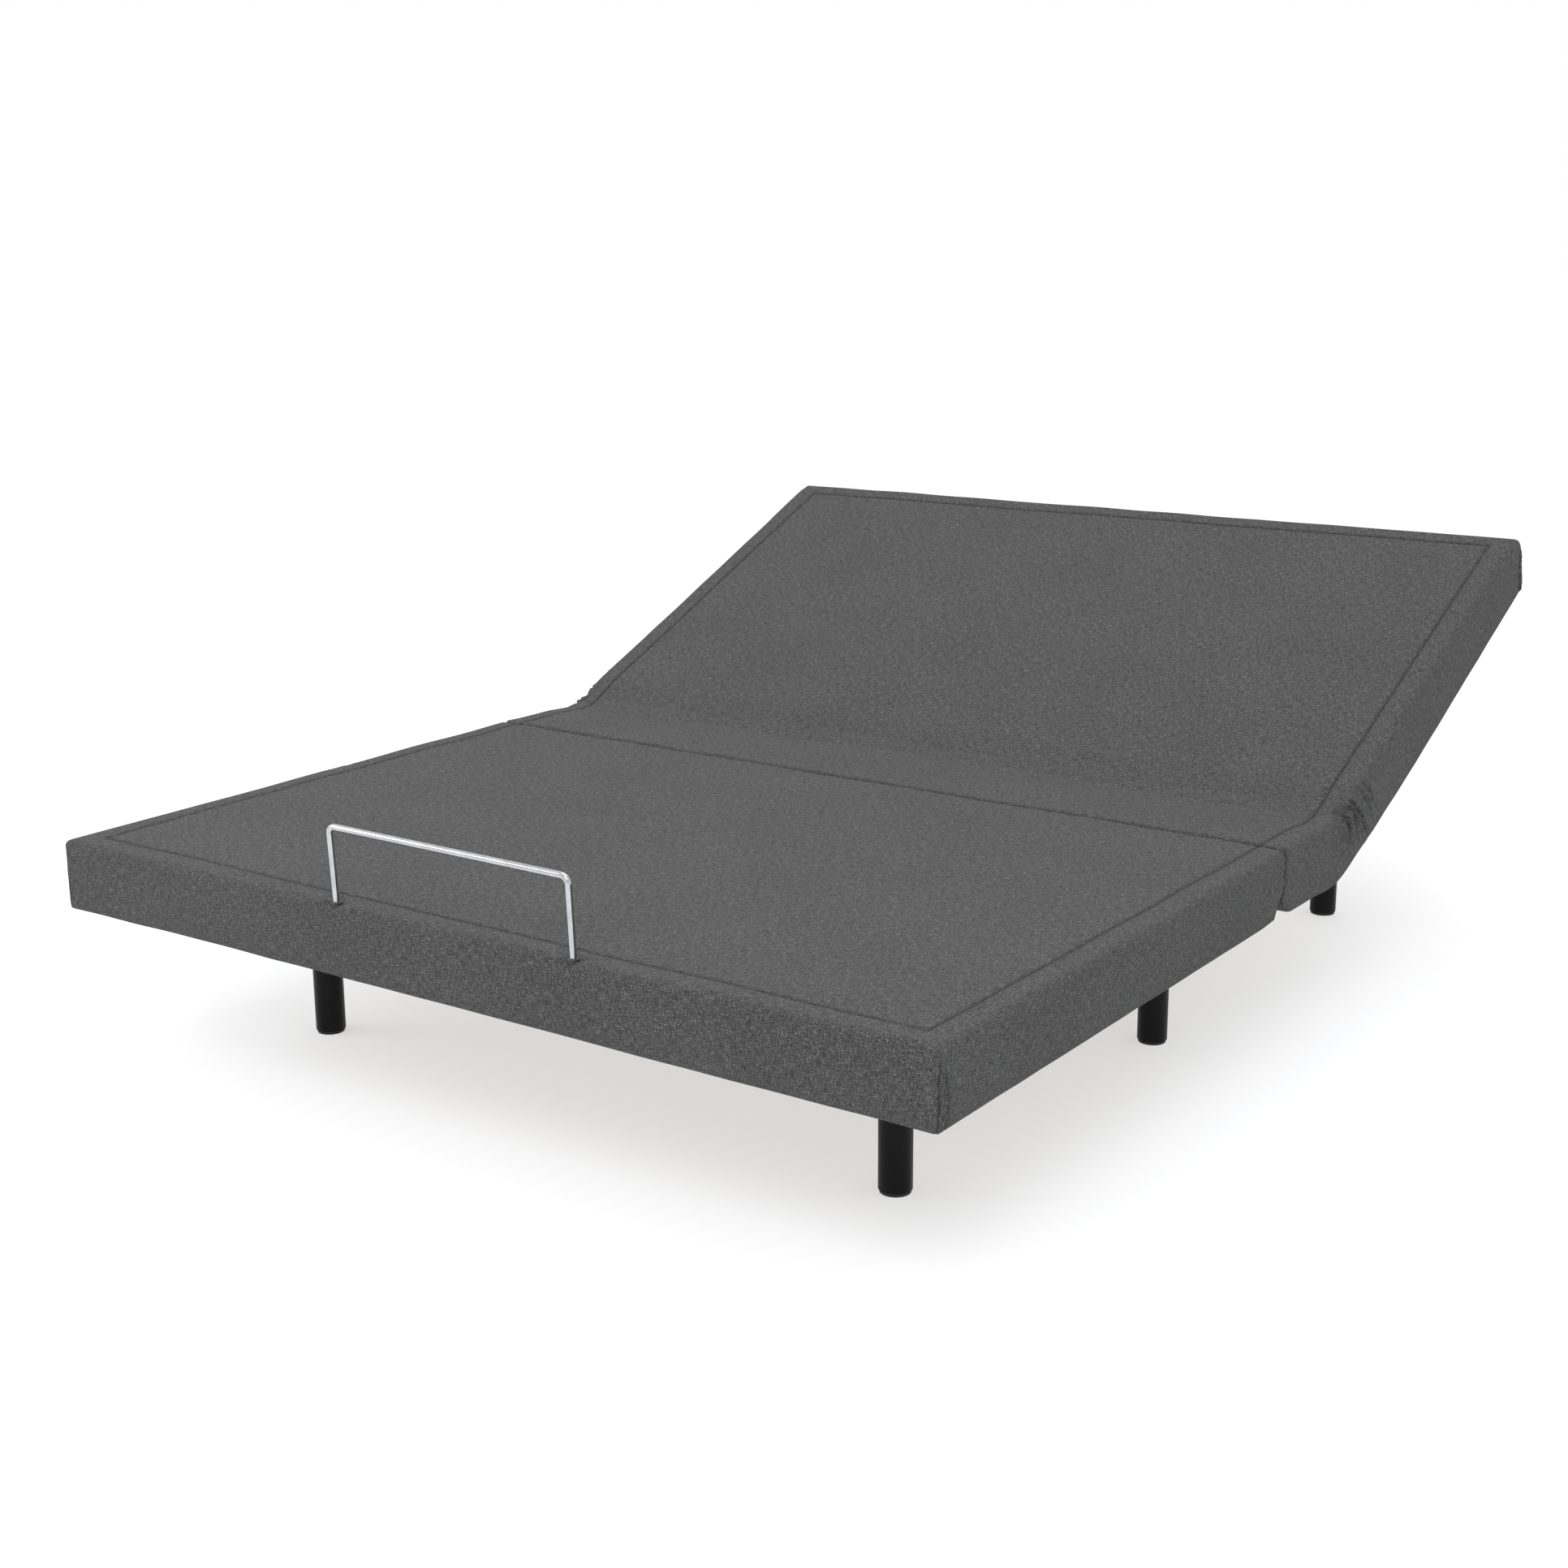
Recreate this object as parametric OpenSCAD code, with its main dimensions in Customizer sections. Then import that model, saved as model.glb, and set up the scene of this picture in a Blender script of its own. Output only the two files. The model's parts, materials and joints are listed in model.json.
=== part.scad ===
/* [Deck] */
// Width over the two side pads
bed_w = 1524; // [1400:2:1640]
// Height of the deck above the floor
deck_top = 340; // [336:1:360]
// Height of the padded sides
side_h = 101; // [90:1:104]
// Thickness of the padded sides and ends
side_t = 38; // [30:1:42]
// Thickness of the plywood boards
board_t = 16; // [15:1:18]
// Thickness of the foam on the boards
foam_t = 14; // [12:1:16]

/* [Sections] */
// Length of the foot section
foot_len = 560; // [540:1:580]
// Length of the thigh section
thigh_len = 392; // [380:1:410]
// Length of the fixed seat section
seat_len = 212; // [205:1:230]
// Length of the head section
head_len = 868; // [820:1:880]
// Gap between the thigh and seat covers
section_gap = 8; // [8:1:12]
// Angle of the head section as stored
head_tilt = 23.2; // [0:0.1:30]

/* [Frame] */
// Distance of each side rail from the middle
rail_x = 524; // [510:1:530]
// Width of a rail tube
rail_w = 30; // [25:1:30]
// Height of a rail tube
rail_h = 50; // [45:1:50]
// Wall of the rail tubes
rail_wall = 2.5; // [2:0.5:3]
// Foot end of the side rails
rail_start = 180; // [170:1:200]
// Head end of the side rails
rail_end = 1790; // [1780:1:1800]
// Size of the two lower cross tubes
drop_tube = 40; // [35:1:40]

/* [Legs] */
// Diameter of a leg
leg_d = 46; // [40:1:50]
// Distance of the foot legs from the foot end
leg_foot_y = 284; // [270:1:300]
// Distance of the middle legs from the foot end
leg_mid_y = 965; // [950:1:975]
// Distance of the head legs from the foot end
leg_head_y = 1725; // [1700:1:1735]
// Distance of the middle legs from the centre line
leg_mid_x = 557; // [550:1:560]

/* [Lift] */
// Length of the head lift arms
head_arm = 420; // [400:1:430]
// Length of the thigh lift arms
thigh_arm = 300; // [290:1:310]
// Turn of the head lift arms for each degree of the head section
head_ratio = 0.85; // [0.84:0.01:0.86]
// Turn of the thigh lift arms for each degree of the thigh section
thigh_ratio = 0.66; // [0.65:0.01:0.67]
// Length of the levers that the actuators push
lever_len = 90; // [85:1:95]
// Diameter of the lift rollers
roller_d = 50; // [48:1:50]
// Diameter of the torque tubes
torque_d = 35; // [32:1:35]

/* [Retainer bar] */
// Width between the legs of the mattress retainer bar
bar_w = 420; // [300:1:500]
// Height of the bar above the deck
bar_h = 106; // [80:1:130]
// Diameter of the bar
bar_d = 9; // [8:0.5:12]
// Sideways place of the bar
bar_x = 10; // [0:1:40]

/* [Hidden] */
$fn = 64;

// heights
side_bottom = deck_top - side_h;
board_top = deck_top - foam_t;
board_bottom = board_top - board_t;
rail_top = board_bottom - 6;
rail_bottom = rail_top - rail_h;
fold_z = board_bottom - 8;
thigh_axis_z = board_top + 2;

// places along the bed, from the face of the foot end
gap_y = foot_len + thigh_len;
fold_y = gap_y + seat_len;
head_end_y = fold_y + head_len * cos(head_tilt) + (fold_z - side_bottom) * sin(head_tilt);
bed_mid = head_end_y / 2;
inner_x = bed_w / 2 - side_t;

// room left at the folds
fold_gap = 1.5;
knee_notch = (fold_z - side_bottom) * tan(26);
head_notch = (deck_top - fold_z) * tan(30.5);
corner_cut = 8;

// lift gear
torque_z = 275;
track_t = 4;
roller_gap = 0.3;
roller_w = 24;
head_tube_y = fold_y - 60;
thigh_tube_y = gap_y + 90;
head_arm_x = 300;
thigh_arm_x = 220;
lever_x = 100;
arm_t = 8;
arm_half = 14;
// bends of the lift arms, along the arm and down from the line between tube and roller
head_dip = [[42, -42], [110, -36], [290, -6]];
thigh_dip = [[45, -32], [130, -30], [215, -8]];
axle_r = 6;
lever_pin_r = 6;
head_travel = 60;
thigh_travel = 40;
// depth of the roller centre below a fold axis, square to the board
head_roller_drop = fold_z - board_bottom + track_t + roller_d / 2 + roller_gap;
thigh_roller_drop = thigh_axis_z - board_bottom + track_t + roller_d / 2 + roller_gap;
// angle of a lift arm that holds a section at angle t: the tube lies p behind and q above the fold axis
function arm_angle(t, p, q, arm, drop) = t + asin((-drop - p * sin(t) - q * cos(t)) / arm);
head_arm_angle = arm_angle(head_tilt, 60, torque_z - fold_z, head_arm, head_roller_drop) - 0.1;
thigh_arm_angle = arm_angle(0, 90, torque_z - thigh_axis_z, thigh_arm, thigh_roller_drop) - 0.02;
// lever angles from straight down, positive as the section rises
head_lever_angle = head_ratio * (head_tilt - head_travel / 2);
thigh_lever_angle = -thigh_ratio * thigh_travel / 2;

// actuators
actuator_len = 345;
actuator_x = 119;
rod_r = 10;
yoke_h = 44;
yoke_reach = 14;
rod_z = torque_z - lever_len * (1 + cos(head_ratio * head_travel / 2)) / 2;
head_yoke_y = head_tube_y + lever_len * sin(head_lever_angle);
thigh_yoke_y = thigh_tube_y - lever_len * sin(thigh_lever_angle);
head_actuator_y = head_tube_y - lever_len * sin(head_ratio * head_travel / 2) - 24 - actuator_len;
thigh_actuator_y = thigh_yoke_y + 24 + actuator_len;

// foot links
link_x = 470;
link_root = [609, 275];
link_end = [270, 285];
link_t = 6;

// hinges
hinge_w = 100;
knuckle_r = 6;
pin_r = 4;
pin_play = 0.05;
leaf_t = 3;
leaf_reach = 48;
low_hinge_x = [-400, 0, 400];
top_hinge_x = [-600, -360, 0, 360, 600];

leg_places = [
    [-rail_x, leg_foot_y], [rail_x, leg_foot_y],
    [-leg_mid_x, leg_mid_y], [leg_mid_x, leg_mid_y],
    [-rail_x, leg_head_y], [rail_x, leg_head_y],
];
glide_h = 5;
plate_t = 4;

cloth = "dimgray";
foam = "lightyellow";
ply = "burlywood";
steel = [0.16, 0.16, 0.17];
zinc = "silver";
black = [0.1, 0.1, 0.1];

// origin on the floor in the middle of the base as stored
module in_bed() translate([0, -bed_mid, 0]) children();
// the head section lies flat along +Y from its fold axis
module in_head() in_bed() translate([0, fold_y, fold_z]) rotate([head_tilt, 0, 0]) children();
module left_right() {
    children();
    mirror([1, 0, 0]) children();
}
module x_cylinder(r, x0, x1) translate([x0, 0, 0]) rotate([0, 90, 0]) cylinder(r = r, h = x1 - x0);
module block(from, to) translate(from) cube(to - from);
// an outline in the Y-Z plane, drawn from x0 to x1
module side_profile(outline, x0, x1)
    translate([x0, 0, 0]) rotate([90, 0, 90]) linear_extrude(x1 - x0) polygon(outline);
module side_pair(outline) left_right() side_profile(outline, inner_x, bed_w / 2);
function unit(v) = v / norm(v);
// points moved to one side of the line that they make
function line_beside(points, side) = [for (i = [0 : len(points) - 1]) let (
    last = len(points) - 1,
    before = unit(points[max(i, 1)] - points[max(i, 1) - 1]),
    along = unit(before + unit(points[min(i + 1, last)] - points[min(i, last - 1)]))
) points[i] + side / (along * before) * [-along[1], along[0]]];
// a flat bar through points in the Y-Z plane
module bent_bar(points, half, x0, x1) {
    below = line_beside(points, -half);
    side_profile(concat(line_beside(points, half), [for (i = [len(points) - 1 : -1 : 0]) below[i]]), x0, x1);
}

// one leaf of a butt hinge: axis along X at the origin, plate towards +Y with its underside at plate_z
module hinge_leaf(plate_z, knuckles) {
    difference() {
        union() {
            block([-hinge_w / 2, knuckle_r + 2, plate_z], [hinge_w / 2, leaf_reach, plate_z + leaf_t]);
            for (k = knuckles) {
                x_cylinder(knuckle_r, k[0], k[1]);
                tab_z = min(plate_z, knuckle_r - leaf_t);
                block([k[0], 0, tab_z], [k[1], knuckle_r + 4, tab_z + leaf_t]);
            }
        }
        x_cylinder(pin_r + pin_play, -hinge_w, hinge_w);
        for (x = [-35, 35]) translate([x, 32, plate_z - 1]) cylinder(r = 2.5, h = leaf_t + 2);
    }
}
OUTER = [[-hinge_w / 2, -17], [17, hinge_w / 2]];
INNER = [[-16.5, 16.5]];
module leaf_row(xs, plate_z, knuckles) for (x = xs) translate([x, 0, 0]) hinge_leaf(plate_z, knuckles);
module pin_row(xs) for (x = xs) translate([x, 0, 0])
    x_cylinder(pin_r, -hinge_w / 2 - 1, hinge_w / 2 + 1);
low_plate_z = board_bottom - fold_z - leaf_t;
top_plate_z = board_top - thigh_axis_z;
// room in the foam round the leaves screwed on top of the boards
module top_hinge_room() for (x = top_hinge_x)
    block([x - hinge_w / 2 - 2, gap_y - leaf_reach - 2, board_top - 1],
          [x + hinge_w / 2 + 2, gap_y + leaf_reach + 2, deck_top + 1]);

/* foot section */
module foot_board() color(ply) in_bed()
    block([-inner_x, side_t, board_bottom], [inner_x, foot_len - fold_gap, board_top]);
module foot_foam() color(foam) in_bed()
    block([-inner_x, side_t, board_top], [inner_x, foot_len - 2 * fold_gap, deck_top]);
module foot_side_pads() color(cloth) in_bed() side_pair([
    [0, side_bottom], [foot_len - fold_gap - knee_notch, side_bottom],
    [foot_len - fold_gap, fold_z], [foot_len - fold_gap, deck_top], [0, deck_top]]);
module foot_end_pad() color(cloth) in_bed() difference() {
    block([-inner_x, 0, side_bottom], [inner_x, side_t, deck_top]);
    bar_feet() cylinder(r = socket_r, h = socket_h + 1);
}
module foot_hinge_leaves() color(zinc) in_bed() translate([0, foot_len, fold_z])
    mirror([0, 1, 0]) leaf_row(low_hinge_x, low_plate_z, INNER);
module foot_link_brackets() color(zinc) in_bed() left_right() {
    x0 = link_x - 17;
    difference() {
        union() {
            block([x0, link_end[0] - 16, link_end[1]], [x0 + 5, link_end[0] + 16, board_bottom]);
            translate([0, link_end[0], link_end[1]]) x_cylinder(16, x0, x0 + 5);
            block([x0 - 25, link_end[0] - 16, board_bottom - 3],
                  [x0 + 1, link_end[0] + 16, board_bottom]);
        }
        translate([0, link_end[0], link_end[1]]) x_cylinder(10.5, x0 - 1, x0 + 6);
    }
}

/* retainer bar: a wire hoop that leans a little over the foot end */
bar_foot_y = 14;
bar_lean = 3;
bar_bend = 11;
socket_r = 8;
socket_h = 44;
bar_root = 42;
module at_bar() translate([bar_x, bar_foot_y, deck_top - bar_root]) rotate([bar_lean, 0, 0]) children();
module bar_feet() at_bar() for (s = [-1, 1]) translate([s * bar_w / 2, 0, 0]) children();
module retainer_bar() color("gainsboro") in_bed() at_bar() {
    bend_z = bar_root + bar_h - bar_bend;
    left_right() {
        translate([bar_w / 2, 0, 3]) cylinder(d = bar_d, h = bend_z - 3);
        translate([bar_w / 2 - bar_bend, 0, bend_z]) rotate([90, 0, 0])
            rotate_extrude(angle = 90) translate([bar_bend, 0]) circle(d = bar_d);
    }
    translate([0, 0, bend_z + bar_bend])
        x_cylinder(bar_d / 2, -bar_w / 2 + bar_bend, bar_w / 2 - bar_bend);
}
module retainer_sockets() color(black) in_bed() bar_feet() difference() {
    cylinder(r = socket_r, h = 40);
    translate([0, 0, 3]) cylinder(d = bar_d, h = 40);
}

/* thigh section */
thigh_end = gap_y - section_gap / 2;
module thigh_board() color(ply) in_bed()
    block([-inner_x, foot_len + fold_gap, board_bottom], [inner_x, gap_y - knuckle_r - 2, board_top]);
module thigh_foam() color(foam) in_bed() difference() {
    side_profile([[foot_len + 2 * fold_gap, board_top], [thigh_end, board_top],
        [thigh_end, deck_top - corner_cut], [thigh_end - corner_cut, deck_top],
        [foot_len + 2 * fold_gap, deck_top]], -inner_x, inner_x);
    top_hinge_room();
}
module thigh_side_pads() color(cloth) in_bed() side_pair([
    [foot_len + fold_gap + knee_notch, side_bottom], [thigh_end, side_bottom],
    [thigh_end, deck_top - corner_cut], [thigh_end - corner_cut, deck_top],
    [foot_len + fold_gap, deck_top], [foot_len + fold_gap, fold_z]]);
// fixed leaves of the knee hinges and moving leaves of the thigh hinges
module thigh_hinge_leaves() color(zinc) in_bed() {
    translate([0, foot_len, fold_z]) leaf_row(low_hinge_x, low_plate_z, OUTER);
    translate([0, foot_len, fold_z]) pin_row(low_hinge_x);
    translate([0, gap_y, thigh_axis_z]) mirror([0, 1, 0]) leaf_row(top_hinge_x, top_plate_z, INNER);
}
module track(x, y0, y1, top) block([x - 8, y0, top - track_t], [x + roller_w + 12, y1, top]);
module thigh_tracks() color(black) in_bed() left_right()
    track(thigh_arm_x + arm_t / 2, gap_y - 265, gap_y - 150, board_bottom);

/* seat section */
seat_start = gap_y + section_gap / 2;
module seat_board() color(ply) in_bed()
    block([-inner_x, gap_y + knuckle_r + 2, board_bottom], [inner_x, fold_y - 16, board_top]);
module seat_foam() color(foam) in_bed() difference() {
    side_profile([[seat_start, board_top], [fold_y - 24, board_top], [fold_y - 24, deck_top],
        [seat_start + corner_cut, deck_top], [seat_start, deck_top - corner_cut]], -inner_x, inner_x);
    top_hinge_room();
}
module seat_side_pads() color(cloth) in_bed() side_pair([
    [seat_start, side_bottom], [fold_y - fold_gap, side_bottom], [fold_y - fold_gap, fold_z],
    [fold_y - fold_gap - head_notch, deck_top], [seat_start + corner_cut, deck_top],
    [seat_start, deck_top - corner_cut]]);
module seat_hinge_leaves() color(zinc) in_bed() {
    translate([0, gap_y, thigh_axis_z]) leaf_row(top_hinge_x, top_plate_z, OUTER);
    translate([0, fold_y, fold_z]) mirror([0, 1, 0]) leaf_row(low_hinge_x, low_plate_z, OUTER);
}
module hinge_pins() color("silver") in_bed() {
    translate([0, gap_y, thigh_axis_z]) pin_row(top_hinge_x);
    translate([0, fold_y, fold_z]) pin_row(low_hinge_x);
}
module seat_spacers() color(black) in_bed() left_right()
    block([rail_x - 13, gap_y + 12, rail_top], [rail_x + 13, fold_y - 22, board_bottom]);

/* head section, flat in its own frame */
head_top = deck_top - fold_z;
head_bottom = side_bottom - fold_z;
module head_board() color(ply) in_head()
    block([-inner_x, 16, board_bottom - fold_z], [inner_x, head_len - side_t, board_top - fold_z]);
module head_foam() color(foam) in_head()
    block([-inner_x, 24, board_top - fold_z], [inner_x, head_len - side_t, head_top]);
module head_side_pads() color(cloth) in_head() side_pair([
    [fold_gap, head_bottom], [head_len, head_bottom], [head_len, head_top],
    [fold_gap + head_notch, head_top], [fold_gap, 0]]);
module head_end_pad() color(cloth) in_head()
    block([-inner_x, head_len - side_t, head_bottom], [inner_x, head_len, head_top]);
module head_hinge_leaves() color(zinc) in_head() leaf_row(low_hinge_x, low_plate_z, INNER);
module head_tracks() color(black) in_head() left_right()
    track(head_arm_x + arm_t / 2, 305, 415, board_bottom - fold_z);

/* steel frame */
module rail_tube(from, to) difference() {
    block(from, to);
    if (to[1] - from[1] > to[0] - from[0])
        block(from + [rail_wall, -1, rail_wall], to - [rail_wall, -1, rail_wall]);
    else
        block(from + [-1, rail_wall, rail_wall], to - [-1, rail_wall, rail_wall]);
}
module side_rail() in_bed()
    rail_tube([rail_in, rail_start, rail_bottom], [rail_out, rail_end, rail_top]);
module side_rail_left() color(steel) mirror([1, 0, 0]) side_rail();
module side_rail_right() color(steel) side_rail();
rail_in = rail_x - rail_w / 2;
rail_out = rail_x + rail_w / 2;
module end_cross_tubes() color(steel) in_bed() for (y = [rail_start, rail_end - rail_w])
    rail_tube([-rail_in, y, rail_bottom], [rail_in, y + rail_w, rail_top]);
module drop_cross_tubes() color(steel) in_bed() for (y = [head_actuator_y, thigh_actuator_y])
    rail_tube([-rail_out, y - drop_tube / 2, rail_bottom - drop_tube],
              [rail_out, y + drop_tube / 2, rail_bottom]);
module deck_bumpers() color(black) in_bed() left_right()
    for (y = [330, 480, 640, 900, 1290, 1640])
        translate([rail_x, y, rail_top]) cylinder(r = 12, h = board_bottom - rail_top - 0.4);
module headboard_plates() color(steel) in_bed() left_right() difference() {
    block([rail_in - 30, rail_end, rail_bottom - 40], [rail_out, rail_end + plate_t, rail_top]);
    for (z = [rail_bottom - 25, rail_bottom + 25])
        translate([rail_x, rail_end - 1, z]) rotate([-90, 0, 0]) cylinder(r = 4.5, h = plate_t + 2);
}
module leg_plates() color(steel) in_bed() for (p = leg_places)
    block([p[0] - 45, p[1] - 45, rail_bottom - plate_t], [p[0] + 45, p[1] + 45, rail_bottom]);

/* legs */
leg_top = rail_bottom - plate_t;
leg_wall = 2.5;
module at_leg(i) in_bed() translate([leg_places[i][0], leg_places[i][1], 0]) children();
module leg(i) color(black) at_leg(i) difference() {
    translate([0, 0, glide_h]) cylinder(d = leg_d, h = leg_top - glide_h);
    cylinder(d = leg_d - 2 * leg_wall, h = leg_top - 30);
    translate([0, 0, leg_top - 26]) cylinder(r = 5, h = 27);
}
module leg_foot_left() leg(0);
module leg_foot_right() leg(1);
module leg_middle_left() leg(2);
module leg_middle_right() leg(3);
module leg_head_left() leg(4);
module leg_head_right() leg(5);
module leg_studs() color(zinc) for (i = [0:5]) at_leg(i)
    translate([0, 0, leg_top - 25]) cylinder(r = 5, h = 25);
module leg_glides() color(black) for (i = [0:5]) at_leg(i) {
    cylinder(d = leg_d - 4, h = glide_h);
    cylinder(d = leg_d - 2 * leg_wall, h = glide_h + 12);
}

/* torque tubes and lift arms */
bearing = 52;
bearing_t = 24;
tube_half = rail_in - 4;
module tube_bearings() color(black) in_bed() left_right()
    for (y = [head_tube_y, thigh_tube_y]) difference() {
        block([rail_in - bearing_t, y - bearing / 2, torque_z - bearing / 2],
              [rail_in, y + bearing / 2, torque_z + bearing / 2]);
        translate([0, y, torque_z])
            x_cylinder(torque_d / 2 + 0.05, rail_in - bearing_t - 1, rail_in - 2);
    }
module at_head_tube(angle) in_bed() translate([0, head_tube_y, torque_z])
    rotate([angle, 0, 0]) children();
// the thigh gear is the head gear turned about: its arms point to the foot end
module at_thigh_tube(angle) in_bed() translate([0, thigh_tube_y, torque_z])
    mirror([0, 1, 0]) rotate([angle, 0, 0]) children();
// tube, and the lever plate and pin welded to it: the lever hangs at lever_angle
module torque_tube(x, lever_angle) {
    difference() {
        union() {
            x_cylinder(torque_d / 2, -tube_half, tube_half);
            rotate([lever_angle, 0, 0]) {
                x_cylinder(torque_d / 2 + 8, x - arm_t / 2, x + arm_t / 2);
                block([x - arm_t / 2, -15, -lever_len], [x + arm_t / 2, 15, 0]);
                translate([0, 0, -lever_len]) x_cylinder(15, x - arm_t / 2, x + arm_t / 2);
                translate([0, 0, -lever_len]) x_cylinder(lever_pin_r, x, x + 34);
            }
        }
        x_cylinder(torque_d / 2 - 3, -tube_half - 1, tube_half + 1);
    }
}
// one arm with its stub axle, from the tube to the roller: it dips below the fold of its section
module lift_arm(x, arm, dip) difference() {
    union() {
        x_cylinder(torque_d / 2 + 8, x - arm_t / 2, x + arm_t / 2);
        bent_bar(concat([[0, 0]], dip, [[arm, 0]]), arm_half, x - arm_t / 2, x + arm_t / 2);
        translate([0, arm, 0]) x_cylinder(arm_half + 2, x - arm_t / 2, x + arm_t / 2);
        translate([0, arm, 0]) x_cylinder(axle_r, x, x + arm_t / 2 + roller_w + 5);
        translate([0, arm, 0])
            x_cylinder(axle_r + 4, x + arm_t / 2 + roller_w + 2, x + arm_t / 2 + roller_w + 5);
    }
    x_cylinder(torque_d / 2, x - arm_t, x + arm_t);
}
module roller(x, arm) translate([0, arm, 0]) difference() {
    x_cylinder(roller_d / 2, x + arm_t / 2 + 1, x + arm_t / 2 + roller_w + 1);
    x_cylinder(axle_r + pin_play, x, x + arm_t / 2 + roller_w + 3);
}
module head_torque_tube() color(steel) at_head_tube(0) mirror([1, 0, 0])
    torque_tube(lever_x, head_lever_angle);
module head_lift_arms() color(steel) at_head_tube(head_arm_angle) left_right()
    lift_arm(head_arm_x, head_arm, head_dip);
module head_roller_right() color("white") at_head_tube(head_arm_angle)
    roller(head_arm_x, head_arm);
module head_roller_left() color("white") mirror([1, 0, 0]) head_roller_right();
module thigh_torque_tube() color(steel) at_thigh_tube(0) torque_tube(lever_x, thigh_lever_angle);
module thigh_lift_arms() color(steel) at_thigh_tube(thigh_arm_angle) left_right()
    lift_arm(thigh_arm_x, thigh_arm, thigh_dip);
module thigh_roller_right() color("white") at_thigh_tube(thigh_arm_angle)
    roller(thigh_arm_x, thigh_arm);
module thigh_roller_left() color("white") mirror([1, 0, 0]) thigh_roller_right();

/* linear actuators: the rear pin is the origin and the rod points along +Y */
tube_r = 22;
box_half = 36;
box_y = [24, 104];
motor_r = 32;
module at_head_actuator() in_bed() translate([-actuator_x, head_actuator_y, rod_z]) children();
module at_thigh_actuator() in_bed() translate([actuator_x, thigh_actuator_y, rod_z])
    rotate([0, 0, 180]) children();
module both_actuators() {
    at_head_actuator() children();
    at_thigh_actuator() children();
}
module actuator_tubes() color(zinc) both_actuators()
    translate([0, box_y[1], 0]) rotate([-90, 0, 0]) difference() {
        cylinder(r = tube_r, h = actuator_len - box_y[1]);
        translate([0, 0, 5]) cylinder(r = rod_r + 0.08, h = actuator_len);
    }
module actuator_gearboxes() color(black) both_actuators() difference() {
    union() {
        block([-box_half, box_y[0], -box_half], [box_half, box_y[1], box_half]);
        block([-10, 0, -14], [10, box_y[0] + 1, 14]);
        x_cylinder(14, -10, 10);
    }
    x_cylinder(6, -11, 11);
}
module actuator_motors() color(black) both_actuators() translate([0, (box_y[0] + box_y[1]) / 2, 0]) {
    x_cylinder(motor_r, -box_half - 100, -box_half);
    x_cylinder(motor_r - 8, -box_half - 108, -box_half - 100);
}
module actuator_brackets() color(steel) both_actuators() {
    ear_top = rail_bottom - drop_tube - rod_z;
    for (s = [-1, 1]) difference() {
        union() {
            block([s * 13 - 2.5, -15, 0], [s * 13 + 2.5, 15, ear_top]);
            x_cylinder(15, s * 13 - 2.5, s * 13 + 2.5);
        }
        x_cylinder(6, -20, 20);
    }
    x_cylinder(6, -19, 19);
    for (s = [-1, 1]) x_cylinder(9, s * 17.5 - 1.5, s * 17.5 + 1.5);
}
// the rod and its slotted yoke, with the lever pin's middle place as the origin
module actuator_rod() {
    slot_half = lever_len * (1 - cos(head_ratio * head_travel / 2)) / 2 + 1;
    rotate([90, 0, 0]) translate([0, 0, yoke_reach - 1]) cylinder(r = rod_r, h = 246);
    difference() {
        block([-11, -yoke_reach, -yoke_h / 2], [11, yoke_reach, yoke_h / 2]);
        block([-12, -lever_pin_r - 1, -slot_half], [12, lever_pin_r + 1, slot_half]);
        for (s = [-1, 1]) translate([0, 0, s * slot_half]) x_cylinder(lever_pin_r + 1, -12, 12);
    }
}
module head_actuator_rod() color(zinc) in_bed()
    translate([-actuator_x, head_yoke_y, rod_z]) actuator_rod();
module thigh_actuator_rod() color(zinc) in_bed()
    translate([actuator_x, thigh_yoke_y, rod_z]) rotate([0, 0, 180]) actuator_rod();

/* foot links: they steer the foot end as the thigh rises */
link_run = link_end - link_root;
link_len = norm(link_run);
module foot_links() color(steel) in_bed() left_right() translate([0, link_root[0], link_root[1]])
    rotate([atan2(link_run[1], link_run[0]), 0, 0]) difference() {
        union() {
            block([link_x - link_t / 2, 0, -12], [link_x + link_t / 2, link_len, 12]);
            x_cylinder(12, link_x - link_t / 2, link_x + link_t / 2);
            translate([0, link_len, 0]) x_cylinder(12, link_x - link_t / 2, link_x + link_t / 2);
            translate([0, link_len, 0]) x_cylinder(5, link_x - 22, link_x);
        }
        x_cylinder(axle_r + pin_play, link_x - link_t, link_x + link_t);
    }

/* electrics, hung from the lower cross tube under the thighs */
box_top = rail_bottom;
supply_y = head_actuator_y - drop_tube / 2;
module control_box() color(black) in_bed()
    block([130, supply_y - 100, box_top - drop_tube], [310, supply_y, box_top]);
module power_supply() color(black) in_bed()
    block([-310, supply_y - 80, box_top - drop_tube], [-150, supply_y, box_top]);
// a lead through a list of points: one ring a point, square to the lead there
lead_sides = 8;
function lead_ring(points, i, r) = let (
    last = len(points) - 1,
    along = unit(unit(points[min(i + 1, last)] - points[min(i, last - 1)])
        + unit(points[max(i, 1)] - points[max(i, 1) - 1])),
    side = unit(cross(along, [0.01, 0.02, 1])),
    up = cross(side, along)
) [for (k = [0 : lead_sides - 1]) let (a = k * 360 / lead_sides)
    points[i] + r * (cos(a) * side + sin(a) * up)];
module lead(points, r) {
    rings = len(points);
    polyhedron(
        [for (i = [0 : rings - 1]) each lead_ring(points, i, r)],
        concat(
            [[for (k = [lead_sides - 1 : -1 : 0]) k]],
            [for (i = [0 : rings - 2], k = [0 : lead_sides - 1]) let (n = (k + 1) % lead_sides)
                [i * lead_sides + k, i * lead_sides + n,
                 (i + 1) * lead_sides + n, (i + 1) * lead_sides + k]],
            [[for (k = [0 : lead_sides - 1]) (rings - 1) * lead_sides + k]]));
}
lead_r = 3;
lead_z = box_top - drop_tube - lead_r;
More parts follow.
